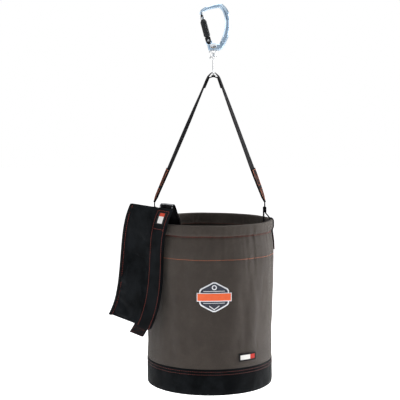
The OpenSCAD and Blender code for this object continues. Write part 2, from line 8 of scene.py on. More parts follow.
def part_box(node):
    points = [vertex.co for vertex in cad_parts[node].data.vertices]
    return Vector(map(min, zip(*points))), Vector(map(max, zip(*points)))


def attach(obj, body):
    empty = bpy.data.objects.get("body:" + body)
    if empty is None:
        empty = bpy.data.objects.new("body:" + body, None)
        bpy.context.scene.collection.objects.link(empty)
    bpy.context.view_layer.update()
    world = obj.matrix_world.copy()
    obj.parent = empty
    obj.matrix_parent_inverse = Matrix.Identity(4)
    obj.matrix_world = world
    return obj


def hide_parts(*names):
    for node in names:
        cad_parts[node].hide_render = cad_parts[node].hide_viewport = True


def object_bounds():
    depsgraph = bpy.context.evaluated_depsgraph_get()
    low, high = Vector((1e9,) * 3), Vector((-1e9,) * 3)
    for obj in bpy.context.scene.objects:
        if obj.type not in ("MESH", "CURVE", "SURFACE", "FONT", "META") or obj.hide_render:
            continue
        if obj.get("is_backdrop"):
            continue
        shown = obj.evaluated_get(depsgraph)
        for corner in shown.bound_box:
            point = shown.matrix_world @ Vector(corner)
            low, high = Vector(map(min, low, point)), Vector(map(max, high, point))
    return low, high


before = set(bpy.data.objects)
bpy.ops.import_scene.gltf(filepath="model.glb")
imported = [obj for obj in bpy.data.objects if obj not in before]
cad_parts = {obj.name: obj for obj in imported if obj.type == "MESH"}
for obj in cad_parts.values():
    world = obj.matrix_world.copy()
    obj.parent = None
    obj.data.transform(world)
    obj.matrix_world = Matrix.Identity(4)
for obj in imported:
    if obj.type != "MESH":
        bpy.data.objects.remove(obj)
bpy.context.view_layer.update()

bpy.ops.object.select_all(action="DESELECT")

# ---------------------------------------------------------------------------
# Camera. It stands a little above the rim, nearly three metres in front, and
# looks slightly down at the hanging bucket through a long portrait lens.
# ---------------------------------------------------------------------------
base_low, base_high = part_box("base_cover")
axis_x = (base_low.x + base_high.x) / 2
foot_z = base_low.z
lens = bpy.data.cameras.new("camera")
lens.lens, lens.sensor_width = 100.08, 36
camera = bpy.data.objects.new("camera", lens)
camera.location = (axis_x - 0.0244, -2.798, foot_z + 0.717)
camera.rotation_euler = (math.radians(90 - 5.17), 0, 0)
bpy.context.scene.collection.objects.link(camera)
bpy.context.scene.camera = camera
bpy.context.scene.view_settings.view_transform = "Standard"


# ---------------------------------------------------------------------------
# Studio. A wide pale floor well below the hanging bucket, a white room, a
# large soft light at the right and weaker ones at the left, front and top.
# ---------------------------------------------------------------------------
class Tap:
    """An output of a shader node. Sums and products of taps add their own Math nodes."""

    def __init__(self, tree, socket):
        self.tree, self.socket = tree, socket

    def node(self, kind, settings=(), out=0, **inputs):
        new = self.tree.nodes.new("ShaderNode" + kind)
        for key, value in dict(settings).items():
            if key == "stops":
                for _ in value[2:]:
                    new.color_ramp.elements.new(0.5)
                for stop, (place, colour) in zip(new.color_ramp.elements, value):
                    stop.position, stop.color = place, colour
            else:
                setattr(new, key, value)
        for key, value in inputs.items():
            socket = new.inputs[int(key[1:])] if key[1:].isdigit() else new.inputs[key.replace("_", " ")]
            if isinstance(value, Tap):
                self.tree.links.new(value.socket, socket)
            else:
                socket.default_value = value
        return Tap(self.tree, new.outputs[out])

    def maths(self, operation, first, second=0.0):
        return self.node("Math", {"operation": operation}, i0=first, i1=second)

    def __add__(self, other):
        return self.maths("ADD", self, other)

    def __sub__(self, other):
        return self.maths("SUBTRACT", self, other)

    def __rsub__(self, other):
        return self.maths("SUBTRACT", other, self)

    def __mul__(self, other):
        return self.maths("MULTIPLY", self, other)

    __radd__, __rmul__ = __add__, __mul__

    def between(self, first, second):
        """The colour that lies between two colours, by this mask."""
        return self.node("Mix", {"data_type": "RGBA"}, 2, i0=self, i6=first, i7=second)

    def step(self, edge, soft):
        """A mask that rises from 0 to 1 round an edge."""
        return self.node("MapRange", {"interpolation_type": "SMOOTHSTEP"},
                         Value=self, From_Min=edge - soft, From_Max=edge + soft)

    def grain(self, scale, detail=3.0, rough=0.55):
        """Cloudy noise at this place, from about 0.3 to 0.7."""
        return self.node("TexNoise", {}, Vector=self, Scale=scale, Detail=detail, Roughness=rough)

    def wave(self, pitch):
        """A sine wave along this measure, one beat in each pitch."""
        return self.maths("SINE", self * (2 * pi / pitch))

    def bump(self, strength, distance):
        """The normals of a surface that stands out by this height."""
        return self.node("Bump", {}, Height=self, Strength=strength, Distance=distance)

    def part(self, letter):
        return self.node("SeparateXYZ", {}, letter, Vector=self)


def tint(red, green, blue):
    """A shader colour from the 0 to 255 values that it shows on a screen."""
    return tuple(((c / 255 + 0.055) / 1.055) ** 2.4 if c > 10 else c / 255 / 12.92
                 for c in (red, green, blue)) + (1.0,)


def finish(name, **plain):
    """A new finish with plain values on its shader, and the taps of its Object place and its UV."""
    made = bpy.data.materials.new(name)
    made.use_nodes = True
    shader = made.node_tree.nodes["Principled BSDF"]
    for key, value in plain.items():
        shader.inputs[key.replace("_", " ")].default_value = value
    start = Tap(made.node_tree, None)
    return made, start.node("TexCoord", {}, "Object"), start.node("TexCoord", {}, "UV")


def feed(made, **taps):
    """Leads taps into the shader of a finish."""
    shader = made.node_tree.nodes["Principled BSDF"]
    for key, tap in taps.items():
        made.node_tree.links.new(tap.socket, shader.inputs[key.replace("_", " ")])


floor_finish, place, _ = finish("floor_paint", Roughness=0.9, Emission_Strength=0.92,
                                Emission_Color=(1, 1, 1, 1))
feed(floor_finish, Base_Color=place.grain(3.0).between(tint(246, 246, 246), tint(252, 252, 252)))
bpy.ops.mesh.primitive_plane_add(size=26, location=(0, 0, foot_z - 0.26))
floor = bpy.context.object
floor.name = "floor"
floor.data.materials.append(floor_finish)
floor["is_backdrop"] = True

room = bpy.data.worlds.new("room")
bpy.context.scene.world = room
room.use_nodes = True
room.node_tree.nodes.clear()
start = Tap(room.node_tree, None)
height = start.node("TexCoord", {}, "Generated").part("Z")
walls = height.node("ValToRGB", {"stops": [(0.28, tint(214, 222, 230)), (0.40, tint(52, 62, 76)),
                                           (0.47, tint(178, 190, 202)), (0.56, tint(236, 242, 248)),
                                           (0.64, tint(60, 72, 88)), (0.8, tint(250, 250, 250))]},
                    Fac=height * 0.5 + 0.5)
shiny = start.node("LightPath", {}, "Is Glossy Ray")
lit = start.node("Background", {}, Color=walls, Strength=shiny * 0.75 + 0.2)
seen = start.node("Background", {}, Color=(1, 1, 1, 1), Strength=1.0)
both = start.node("MixShader", {}, Fac=start.node("LightPath", {}, "Is Camera Ray"), i1=lit, i2=seen)
room_out = room.node_tree.nodes.new("ShaderNodeOutputWorld")
room.node_tree.links.new(both.socket, room_out.inputs[0])

bucket_middle = Vector((axis_x, 0, -0.55))
for name, at, wide, power in (
        ("light_right", (2.2, 0.75, 0.1), 1.5, 84), ("light_left", (-2.3, -0.8, 0.3), 1.3, 19),
        ("light_front", (0.9, -2.6, 1.7), 1.4, 14), ("light_top", (0.0, 0.1, 1.5), 1.3, 24)):
    lamp = bpy.data.lights.new(name, "AREA")
    lamp.energy, lamp.size = power, wide
    panel = bpy.data.objects.new(name, lamp)
    panel.location = at
    panel.rotation_euler = (bucket_middle - Vector(at)).to_track_quat("-Z", "Y").to_euler()
    bpy.context.scene.collection.objects.link(panel)


# ---------------------------------------------------------------------------
# Helpers for the pieces.
# ---------------------------------------------------------------------------
SIDES = ((-1, "left"), (1, "right"))


def ease(t):
    t = min(1.0, max(0.0, t))
    return t * t * (3 - 2 * t)


def mix(a, b, t):
    return a + (b - a) * t


def way_out(angle):
    """The level way out from the bucket's axis, at an angle round from the front."""
    return Vector((sin(angle), -cos(angle), 0))


def put(thing, made, body, slot, *nodes):
    """Gives a piece its finish, its body and the CAD nodes that it replaces; the slot is not used."""
    thing.data.materials.append(made)
    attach(thing, body)
    if nodes:
        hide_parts(*nodes)
    return thing


def reshape(thing, kind, **settings):
    """Adds a modifier to a piece and applies it."""
    new = thing.modifiers.new(kind.lower(), kind)
    for key, value in settings.items():
        setattr(new, key, value)
    bpy.context.view_layer.objects.active = thing
    bpy.ops.object.modifier_apply(modifier=new.name)


def turn_outwards():
    """Makes all normals of the mesh in edit mode look outwards, and leaves edit mode."""
    bpy.ops.mesh.select_all(action="SELECT")
    bpy.ops.mesh.normals_make_consistent(inside=False)
    bpy.ops.object.mode_set(mode="OBJECT")


# ---------------------------------------------------------------------------
# Carabiner frame. Forged aluminium bar, polished, with rounded edges all
# round. The forging is one piece with the boss that holds the swivel.
# ---------------------------------------------------------------------------
alloy, place, _ = finish("polished_alloy", Metallic=1.0)
wear = place.grain(90, 4)
brushed = place.node("Mapping", {}, Vector=place, Scale=(1, 1, 0.12)).grain(900, 2)
feed(alloy, Base_Color=wear.step(0.5, 0.2).between(tint(150, 172, 192), tint(176, 192, 206)),
     Roughness=wear * 0.16 + 0.1,
     Normal=brushed.bump(0.1, 0.0002))


def wear_on(node, made):
    """Gives a CAD node its finish."""
    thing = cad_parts[node]
    if not thing.material_slots:
        thing.data.materials.append(made)
    for slot in thing.material_slots:
        slot.link = "OBJECT"
        slot.material = made


def rounded_copy(node, name, voxel, passes):
    """A copy of a hard CAD node, merged, remeshed and smoothed, so that its edges are rounded."""
    thing = bpy.data.objects.new(name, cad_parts[node].data.copy())
    bpy.context.scene.collection.objects.link(thing)
    bpy.context.view_layer.objects.active = thing
    thing.select_set(True)
    bpy.ops.object.mode_set(mode="EDIT")
    bpy.ops.mesh.select_all(action="SELECT")
    bpy.ops.mesh.remove_doubles(threshold=0.00001)
    bpy.ops.object.mode_set(mode="OBJECT")
    reshape(thing, "REMESH", mode="VOXEL", voxel_size=voxel, use_smooth_shade=True)
    reshape(thing, "SMOOTH", factor=0.5, iterations=passes)
    thing.data.materials.clear()
    thing.select_set(False)
    return thing


forging = rounded_copy("carabiner_frame", "carabiner_forging", 0.0007, 9)
# the forging dies leave a shallow hollow along both faces of the bar
frame_w, frame_h = 0.076, 0.105
bar = [Vector((x * frame_w, 0, z * frame_h)) for x, z in (
    (-0.545, -0.06), (-0.416, -0.009), (-0.253, 0.029), (-0.112, 0.05), (0.017, 0.056), (0.134, -0.009),
    (0.216, -0.11), (0.274, -0.279), (0.274, -0.448), (0.216, -0.634), (0.122, -0.804))]
half_bar = [0.115, 0.125, 0.14, 0.15, 0.155, 0.165, 0.175, 0.18, 0.18, 0.185, 0.18]
for v in forging.data.vertices:
    if abs(v.co.y) > 0.0045:
        flat = Vector((v.co.x, 0, v.co.z))
        near, wide = 1.0, 0.005
        for k in range(len(bar) - 1):
            leg = bar[k + 1] - bar[k]
            t = (flat - bar[k]).dot(leg) / leg.length_squared
            if -0.02 < t < 1.02:
                away = (flat - bar[k] - leg * t).length
                if away < near:
                    near, wide = away, (half_bar[k] + (half_bar[k + 1] - half_bar[k]) * t) * 0.019
        v.co.y -= math.copysign(0.0019 * ease((wide - near) / (wide * 0.55)), v.co.y)
put(forging, alloy, "carabiner", "polished_alloy", "carabiner_frame")

# ---------------------------------------------------------------------------
# Gate. A black anodised arm with forked cheeks on a steel rivet; a steel pin
# in its tip locks into the frame's nose, and a plunger spring closes it.
# ---------------------------------------------------------------------------
black_alloy, place, _ = finish("black_alloy", Metallic=0.25, Specular_IOR_Level=0.3)
rub = place.grain(160, 5).step(0.62, 0.06)
feed(black_alloy, Base_Color=rub.between(tint(20, 21, 23), tint(52, 54, 58)),
     Roughness=rub * -0.1 + 0.42,
     Normal=place.grain(2600, 2).bump(0.2, 0.0001))
steel, place, _ = finish("steel", Metallic=1.0)
film = place.grain(220, 4)
feed(steel, Base_Color=film.step(0.5, 0.2).between(tint(150, 152, 155), tint(186, 187, 188)),
     Roughness=film * 0.22 + 0.14,
     Normal=place.grain(1400, 2).bump(0.1, 0.0001))
put(rounded_copy("gate_arm", "gate_arm_rounded", 0.0005, 3), black_alloy, "gate", "black_alloy", "gate_arm")
for node in ("gate_rivet", "gate_collar", "gate_latch_pin", "gate_spring", "gate_plunger", "lock_spring"):
    wear_on(node, steel)

# ---------------------------------------------------------------------------
# Locking sleeve. A turned aluminium sleeve, anodised black, with finger
# grooves milled along it. It turns on the gate's rod against its spring.
# ---------------------------------------------------------------------------
put(rounded_copy("lock_sleeve", "lock_sleeve_rounded", 0.0005, 2), black_alloy, "sleeve", "black_alloy",
    "lock_sleeve")

# ---------------------------------------------------------------------------
# Swivel. A steel post with a turned head on a bronze washer, pressed into a
# turned body; the eye is a bright steel wire bent to a flat-bottomed loop.
# ---------------------------------------------------------------------------
bright, place, _ = finish("bright_steel", Metallic=1.0)
film = place.grain(140, 3)
feed(bright, Base_Color=film.step(0.5, 0.2).between(tint(196, 197, 198), tint(222, 222, 222)),
     Roughness=film * 0.2 + 0.08,
     Normal=place.grain(900, 2).bump(0.08, 0.0001))
bronze, place, _ = finish("bronze", Metallic=1.0)
feed(bronze, Base_Color=place.grain(300, 4).step(0.5, 0.15).between(tint(150, 112, 66), tint(176, 138, 86)),
     Roughness=place.grain(500, 3) * 0.3 + 0.2)
wear_on("swivel_post", steel)
wear_on("swivel_washer", bronze)
wear_on("swivel_body", bright)
wear_on("swivel_eye", bright)

# ---------------------------------------------------------------------------
# Strap legs. One length of 25 mm black polyester webbing passes over the eye
# and runs down to a fork on each side of the bucket. Its face has cross ribs
# and its edges are rounded selvedges.
# ---------------------------------------------------------------------------
black_webbing, place, uv = finish("black_webbing", Sheen_Weight=0.03, Sheen_Roughness=0.5,
                                  Specular_IOR_Level=0.04)
run, side = uv.part("Y"), uv.part("X")
rib = run.maths("SINE", run * (2 * pi / 0.0016) + side.wave(0.0026) * 0.9)
yarn = side.wave(0.0011)
fuzz = place.grain(1500, 3)
feed(black_webbing, Roughness=fuzz * 0.3 + 0.55,
     Base_Color=(rib * 0.3 + fuzz * 0.8).step(0.45, 0.5).between(tint(9, 8, 10), tint(28, 26, 29)),
     Normal=(rib * 0.6 + yarn * 0.3 + fuzz * 0.5).bump(0.75, 0.0004))

eye_low, eye_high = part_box("swivel_eye")
eye_wire = 0.00225
hang_x, bar_z = (eye_low.x + eye_high.x) / 2, eye_low.z + eye_wire
rim_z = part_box("canvas_body")[1].z
fork_r, fork_z = 0.139, rim_z + 0.028
strap_w, strap_t, ply_gap = 0.025, 0.0022, 0.0003


def flowing(points, steps):
    """More points on the smooth curve through the given points."""
    out = []
    for i in range(len(points) - 1):
        a, b = points[max(0, i - 1)], points[i]
        c, d = points[i + 1], points[min(len(points) - 1, i + 2)]
        for k in range(steps):
            t = k / steps
            out.append(0.5 * (2 * b + (c - a) * t + (2 * a - 5 * b + 4 * c - d) * t * t
                              + (3 * b - a - 3 * c + d) * t ** 3))
    return out + [points[-1]]


def tangents(line):
    return [(line[min(len(line) - 1, i + 1)] - line[max(0, i - 1)]).normalized() for i in range(len(line))]


def solid(name, verts, faces, uvs=None):
    """A mesh object from its corners and faces, smooth, with a UV for each face's corner."""
    mesh = bpy.data.meshes.new(name)
    mesh.from_pydata([tuple(v) for v in verts], [], faces)
    if uvs:
        layer = mesh.uv_layers.new(name="UVMap")
        for corner, spot in zip(layer.data, uvs):
            corner.uv = spot
    mesh.shade_smooth()
    thing = bpy.data.objects.new(name, mesh)
    bpy.context.scene.collection.objects.link(thing)
    return thing


def webbing(name, line, across, thick, widths, lift=0.0):
    """A closed ribbon along a line. across has each point's direction over the width, and the
    ribbon's face looks along tangent x across; lift moves it out that way. The edges are round."""
    ends = [(0.5, a) for a in (-90, -50, 0, 50, 90)] + [(-0.5, a) for a in (90, 130, 180, 230, 270)]
    verts, faces, uvs = [], [], []
    ring = []
    for side_share, angle in ends:
        ring.append((side_share, math.radians(angle)))
        if angle in (90, 270):
            for share in ((0.25, 0, -0.25) if side_share > 0 else (-0.25, 0, 0.25)):
                ring.append((share, None))
    count = len(ring)
    gone = 0.0
    for i, (p, d) in enumerate(zip(line, tangents(line))):
        if i:
            gone += (p - line[i - 1]).length
        out = across[i].cross(d).normalized()
        half = 0.5 * (thick[i] if isinstance(thick, list) else thick)
        for k, (share, angle) in enumerate(ring):
            w = widths[i]
            if angle is None:
                top = 1 if k < count / 2 else -1
                x, y = share * w * 0.96, top * half
            else:
                x = math.copysign(w / 2 - half, share) + cos(angle) * half
                y = sin(angle) * half
            verts.append(p + across[i] * x + out * (y + lift))
            uvs.append((x, gone))
    n = len(line)
    loops = []
    for i in range(n - 1):
        for k in range(count):
            quad = (i * count + k, i * count + (k + 1) % count,
                    (i + 1) * count + (k + 1) % count, (i + 1) * count + k)
            faces.append(quad)
            loops += [uvs[v] for v in quad]
    for cap in (tuple(reversed(range(count))), tuple((n - 1) * count + k for k in range(count))):
        faces.append(cap)
        loops += [uvs[v] for v in cap]
    thing = solid(name, verts, faces, loops)
    thing.select_set(True)
    bpy.context.view_layer.objects.active = thing
    bpy.ops.object.mode_set(mode="EDIT")
    turn_outwards()
    thing.select_set(False)
    return thing


def fork_x(s):
    return axis_x + s * fork_r


def leg_path(s):
    """The middle line of a leg from the eye down to its fork, and each point's direction across."""
    low_bar = bar_z - 0.009
    knee = Vector((hang_x + s * 0.014, 0, low_bar))
    apex = bar_z + eye_wire + 0.0005 + strap_t / 2
    foot = Vector((fork_x(s) - s * 0.003, 0, fork_z + 0.022))
    points = [Vector((hang_x + s * 0.014 * t, 0, apex - (apex - low_bar) * t ** 1.7))
              for t in (0, 0.25, 0.5, 0.75)]
    points += [knee + (foot - knee) * (k / 16) for k in range(17)]
    points += [Vector((fork_x(s), 0, fork_z + dz)) for dz in (0.0135, 0, -0.00625, -0.01075)]
    line = flowing(points, 6)
    across = []
    for i, (p, d) in enumerate(zip(line, tangents(line))):
        if i == 0:
            d = Vector((s, 0, 0))
        t = (p.z - fork_z) / (bar_z - fork_z)
        twist = math.radians((27 if s > 0 else -21) * mix(0.42, 1, ease(t / 0.3))
                             * mix(1, 0.4, ease((t - 0.3) / 0.7)) * ease((1.02 - t) / 0.06))
        # the ply lies flat between its two tails at the fork, and a slack strap is never quite even
        twist *= ease((p.z - fork_z - 0.012) / 0.022)
        twist += 0.05 * ease(t * 5) * ease((1 - t) * 8) * sin(9 * t + s)
        flat = Vector((-d.z * s, 0, d.x * s)).normalized()
        out = flat * cos(twist) + Vector((0, -1, 0)) * sin(twist) * s
        across.append((d.cross(out) * s).normalized())
    return line, across


def leg_out(across, along, s):
    """The way out of a leg's outer face."""
    n = across.cross(along).normalized()
    return n if n.x * s > 0 else -n


def leg_ply(name, s, keep, lift, width, node):
    """A ply that follows a leg where keep is true of the height, lift metres outside its middle."""
    line, across = leg_path(s)
    chosen = [i for i, p in enumerate(line) if keep(p.z)]
    points, over = [line[i] for i in chosen], [across[i] for i in chosen]
    ends = [width if p.z > fork_z else 2 * math.sqrt(max(1e-6, (width / 2) ** 2 - (fork_z - p.z) ** 2))
            for p in points]
    sign = 1 if over[0].cross(tangents(points)[0]).x * s > 0 or abs(lift) < 1e-6 else -1
    # the leg is made thicker just above its fork, so that it still shows when it is seen edge on
    plies = [strap_t + 0.0018 * ease((p.z - fork_z - 0.0135) / 0.003) * ease((fork_z + 0.034 - p.z) / 0.006)
             if abs(lift) < 1e-6 else strap_t for p in points]
    ply = webbing(name, points, over, plies, ends, lift * sign)
    put(ply, black_webbing, "strap", "black_webbing", node)


for s, word in SIDES:
    leg_ply("strap_leg_" + word + "_web", s, lambda z: True, 0.0, strap_w, "strap_leg_" + word)

# ---------------------------------------------------------------------------
# Keeper. A second ply that passes under the eye's bar and is sewn inside both
# legs, with a black box stitch, so that the strap can't slip off the eye.
# ---------------------------------------------------------------------------
def thread_finish(name, dark, light, rough=0.45):
    """A finish for sewing thread, between two colours."""
    made, place, _ = finish(name)
    strands = place.grain(2200, 2)
    feed(made, Base_Color=strands.step(0.5, 0.2).between(tint(*dark), tint(*light)),
         Roughness=strands * 0.3 + rough)
    return made


red_thread = thread_finish("red_thread", (120, 38, 28), (158, 58, 40))
orange_thread = thread_finish("orange_thread", (186, 92, 52), (214, 124, 84))

bpy.ops.mesh.primitive_uv_sphere_add(segments=6, ring_count=5, radius=0.5)
bead = bpy.context.object
bead_spots = [v.co.copy() for v in bead.data.vertices]
bead_faces = [tuple(f.vertices) for f in bead.data.polygons]
bpy.data.objects.remove(bead)


def stitches(name, line, outs, body, thread, long=0.0042, pitch=0.0056, thick=0.0009, slot="black_webbing"):
    """A row of stitches along a line: one bead of thread, copied at each pitch and laid half into
    the cloth. outs has the way out of the cloth at each point."""
    verts, faces = [], []
    want = pitch / 2
    gone = 0.0
    for i in range(len(line) - 1):
        leg = line[i + 1] - line[i]
        while gone + leg.length >= want:
            t = (want - gone) / leg.length
            along = leg.normalized()
            up = outs[i] * (1 - t) + outs[i + 1] * t
            up = (up - along * up.dot(along)).normalized()
            side = up.cross(along)
            at = line[i] + leg * t + up * thick * 0.12
            first = len(verts)
            verts += [at + along * c.z * long + side * c.x * thick + up * c.y * thick * 0.9
                      for c in bead_spots]
            faces += [tuple(first + v for v in f) for f in bead_faces]
            want += pitch
        gone += leg.length
    put(solid(name, verts, faces), thread, body, slot)


def inner_keeper(s):
    line, across = leg_path(s)
    picked = [i for i, p in enumerate(line) if bar_z - 0.0365 < p.z < bar_z - 0.0088]
    out = []
    for i in picked:
        d = tangents(line)[i]
        spot = line[i] - leg_out(across[i], d, s) * (strap_t + ply_gap)
        out.append((spot, across[i] * (1 if across[i].y < 0 else -1)))
    return out


left, right = inner_keeper(-1), inner_keeper(1)
under = Vector((hang_x, 0, bar_z - 0.00275 - strap_t / 2 - 0.0035))
loop = [p for p, _ in reversed(left)] + [under] + [p for p, _ in right]
over = [a for _, a in reversed(left)] + [Vector((0, -1, 0))] + [a for _, a in right]
keeper = webbing("strap_keeper_web", loop, over, strap_t, [strap_w] * len(loop))
put(keeper, black_webbing, "strap", "black_webbing", "strap_keeper")

# below the bar the slack of the keeper is folded into a thick little pad
pad_z = bar_z - 0.0057
bpy.ops.object.select_all(action="DESELECT")
bpy.ops.mesh.primitive_cylinder_add(vertices=28, radius=0.0052, depth=0.0235, rotation=(pi / 2, 0, 0),
                                    location=(hang_x, 0, pad_z))
fold_pad = bpy.context.object
fold_pad.name = fold_pad.data.name = "keeper_fold_web"
bpy.ops.object.transform_apply(location=True, rotation=True, scale=True)
bpy.ops.object.mode_set(mode="EDIT")
bpy.ops.mesh.select_all(action="SELECT")
bpy.ops.transform.resize(value=(1, 1, 0.5), center_override=(hang_x, 0, pad_z))
bpy.ops.mesh.bevel(offset=0.0008, segments=3)
bpy.ops.object.mode_set(mode="OBJECT")
fold_uv = fold_pad.data.uv_layers.active
for corner in fold_pad.data.loops:
    spot = fold_pad.data.vertices[corner.vertex_index].co
    fold_uv.data[corner.index].uv = (spot.y, math.atan2(spot.z - pad_z, spot.x - hang_x) * 0.005)
fold_pad.data.shade_smooth()
fold_pad.select_set(False)
put(fold_pad, black_webbing, "strap", "black_webbing")


def box_on_leg(name, s, high, low, inset, lift, thread):
    """A box stitch with a cross in it on the outside of a leg, between two heights."""
    line, across = leg_path(s)
    picked = [i for i, p in enumerate(line) if low < p.z < high]
    ds = tangents(line)
    spots, outs = [], []

    def add(i, share):
        n = leg_out(across[i], ds[i], s)
        spots.append(line[i] + across[i] * share * (strap_w / 2 - inset) + n * (strap_t / 2 + lift))
        outs.append(n)
    for i in picked:
        add(i, 1)
    for share in (0.5, 0, -0.5):
        add(picked[-1], share)
    for i in reversed(picked):
        add(i, -1)
    for share in (-0.5, 0, 0.5):
        add(picked[0], share)
    for k, i in enumerate(picked):
        add(i, 1 - 2 * k / (len(picked) - 1))
    stitches(name, spots, outs, "strap", thread, 0.003, 0.0036, 0.0011)


for s, word in SIDES:
    box_on_leg("keeper_stitches_" + word, s, bar_z - 0.013, bar_z - 0.034, 0.0035, 0.0, black_webbing)

# ---------------------------------------------------------------------------
# Lower laps. Each leg is doubled outside above its fork by a short ply, and
# sewn with two long boxes of orange thread that carry the load to the tails.
# ---------------------------------------------------------------------------
for s, word in SIDES:
    leg_ply("lower_lap_" + word + "_web", s, lambda z: fork_z + 0.015 < z < fork_z + 0.0985,
            strap_t + 0.00005, strap_w - 0.001, "lower_lap_" + word)
    box_on_leg("lap_stitches_" + word, s, fork_z + 0.096, fork_z + 0.056, 0.0034, strap_t, orange_thread)
    box_on_leg("lap_stitches_low_" + word, s, fork_z + 0.05, fork_z + 0.02, 0.0034, strap_t, orange_thread)

# ---------------------------------------------------------------------------
# Canvas body. Heavy brown-grey canvas, one ply below and two where the rim
# is turned in as a facing. The rim is rolled over a hoop and drawn in by
# seam one, so the cloth puckers there, and the wall hangs a little slack.
# ---------------------------------------------------------------------------
canvas, place, uv = finish("canvas", Sheen_Weight=0.14, Sheen_Roughness=0.4, Specular_IOR_Level=0.12)
warp, weft = uv.part("X"), uv.part("Y")
twist_x = warp.wave(0.0012)
twist_y = weft.wave(0.0012)
threads = twist_x * twist_y
slub = place.grain(420, 4, 0.65)
cloud = place.grain(9, 4, 0.6)
mottle = place.grain(38, 5, 0.65)
worn = (cloud * 0.45 + mottle * 0.3 + slub * 0.25).step(0.5, 0.13)
shade = worn.between(tint(67, 61, 57), tint(84, 77, 71))
feed(canvas, Roughness=slub * 0.25 + 0.68,
     Base_Color=(threads * 0.5 + slub).step(0.5, 0.6).between(tint(61, 55, 51), shade),
     Normal=(threads * 0.5 + slub * 0.8 + mottle * 1.6).bump(0.7, 0.0006))


def ring_up(name, rings, count):
    """A ring of edges round the bucket's axis, extruded and scaled from one (radius, height above
    the base) to the next, then closed."""
    bpy.ops.object.select_all(action="DESELECT")
    bpy.ops.mesh.primitive_circle_add(vertices=count, radius=rings[0][0],
                                      location=(axis_x, 0, foot_z + rings[0][1]))
    shell = bpy.context.object
    shell.name = shell.data.name = name
    bpy.ops.object.mode_set(mode="EDIT")
    bpy.ops.mesh.select_all(action="SELECT")
    for (r0, h0), (r1, h1) in zip(rings, rings[1:]):
        bpy.ops.mesh.extrude_region_move(TRANSFORM_OT_translate={"value": (0, 0, h1 - h0)})
        bpy.ops.transform.resize(value=(r1 / r0, r1 / r0, 1), center_override=(axis_x, 0, foot_z))
    bpy.ops.mesh.select_all(action="DESELECT")
    bpy.ops.mesh.select_non_manifold()
    if rings[0][0] < 0.02:
        bpy.ops.mesh.fill_holes(sides=0)
    else:
        bpy.ops.mesh.bridge_edge_loops()
    turn_outwards()
    bpy.ops.object.transform_apply(location=True, rotation=True, scale=True)
    shell.data.shade_smooth()
    shell.select_set(False)
    return shell


def wrap_uv(thing, flat_below=0.0):
    """UV in metres: round the axis and up, or plain x and y on faces that lie flat."""
    mesh = thing.data
    layer = mesh.uv_layers.get("UVMap") or mesh.uv_layers.new(name="UVMap")
    for face in mesh.polygons:
        spots = [mesh.vertices[mesh.loops[k].vertex_index].co for k in face.loop_indices]
        if abs(face.normal.z) > 0.8 and face.center.z < foot_z + flat_below:
            uvs = [(p.x, p.y) for p in spots]
        else:
            turns = [math.atan2(p.x - axis_x, -p.y) for p in spots]
            if max(turns) - min(turns) > pi:
                turns = [a + 2 * pi if a < 0 else a for a in turns]
            uvs = [(a * 0.16, p.z) for a, p in zip(turns, spots)]
        for k, spot in zip(face.loop_indices, uvs):
            layer.data[k].uv = spot


seam_one, seam_two = 0.388, 0.333


def slack(angle, up):
    """How far the wall stands out of its true round, at an angle round from the front."""
    wall = ease((up - 0.072) / 0.05) * ease((0.38 - up) / 0.06)
    around = way_out(angle)
    soft = noise.noise(around * 1.7 + Vector((3, 0, up * 2.6))) * 0.005
    fold = noise.noise(around * 4.6 + Vector((0, 8, up * 5.5))) * 0.0028
    crease = noise.noise(around * 11 + Vector((0, 0, up * 26))) * 0.0010
    comb = noise.noise(around * 19 + Vector((0, 5, 0))) + 0.5 * noise.noise(around * 36)
    lip = noise.noise(around * 3.2 + Vector((9, 0, 0))) * 0.0011 * ease((up - 0.385) / 0.02)
    pull = math.exp(-abs(up - seam_one) / 0.02) * 0.0026 + math.exp(-abs(up - seam_two) / 0.02) * 0.0016
    drawn = math.exp(-abs(up - seam_one) / 0.0028) * 0.0026
    return (soft + fold + crease) * wall + comb * pull + lip - drawn


def rim_wave(angle, up):
    """How far the rim rises and falls round the bucket."""
    return 0.0012 * noise.noise(Vector((sin(angle), cos(angle), 4)) * 2.1) * ease((up - 0.36) / 0.03)


def wall_r(up):
    """The outer radius of the wall below seam two, without its slack."""
    return mix(wall_in + 0.0012, swell, ease((up - 0.07) / 0.15))


base_r = (base_high.x - base_low.x) / 2
wall_in, swell, ply = base_r - 0.0019, base_r + 0.003, 0.0018
outer = [(wall_in, 0.0105), (wall_in, 0.03), (wall_in, 0.056), (wall_in, 0.063), (wall_in + 0.0009, 0.0675)]
outer += [(wall_r(h), h) for h in (0.07 + 0.009 * k for k in range(29))]
outer += [(swell, 0.3315), (swell - 0.0006, seam_two), (swell - 0.0002, 0.3345)]
outer += [(swell - 0.0056 * ease((h - 0.336) / 0.052), h) for h in (0.336 + 0.004 * k for k in range(12))]
outer += [(0.1562, 0.3845), (0.1555, 0.3868), (0.1553, 0.388), (0.1556, 0.3892), (0.1572, 0.3905),
          (0.1586, 0.3928), (0.1594, 0.396), (0.1596, 0.4), (0.1596, 0.4045), (0.1595, 0.409)]
hoop_r, hoop_up, roll = 0.1552, 0.4117, 0.0043
top = [(hoop_r + roll * cos(math.radians(a)), hoop_up + roll * sin(math.radians(a)))
       for a in range(0, 181, 15)]
inner = [(0.1509, 0.405), (0.1509, 0.399), (0.1512, 0.395), (0.152, 0.391), (0.1524, 0.388), (0.1526, 0.384)]
inner += [(swell - 2 * ply - 0.0006 - 0.005 * ease((0.386 - h) / -0.05 + 1), h)
          for h in (0.38 - 0.004 * k for k in range(12))]
inner += [(swell - 2 * ply - 0.0004, 0.334), (swell - 2 * ply - 0.0002, 0.3322),
          (swell - ply - 0.0004, 0.3312), (swell - ply, 0.329)]
inner += [(wall_r(h) - ply, h) for h in (0.322 - 0.009 * k for k in range(29))]
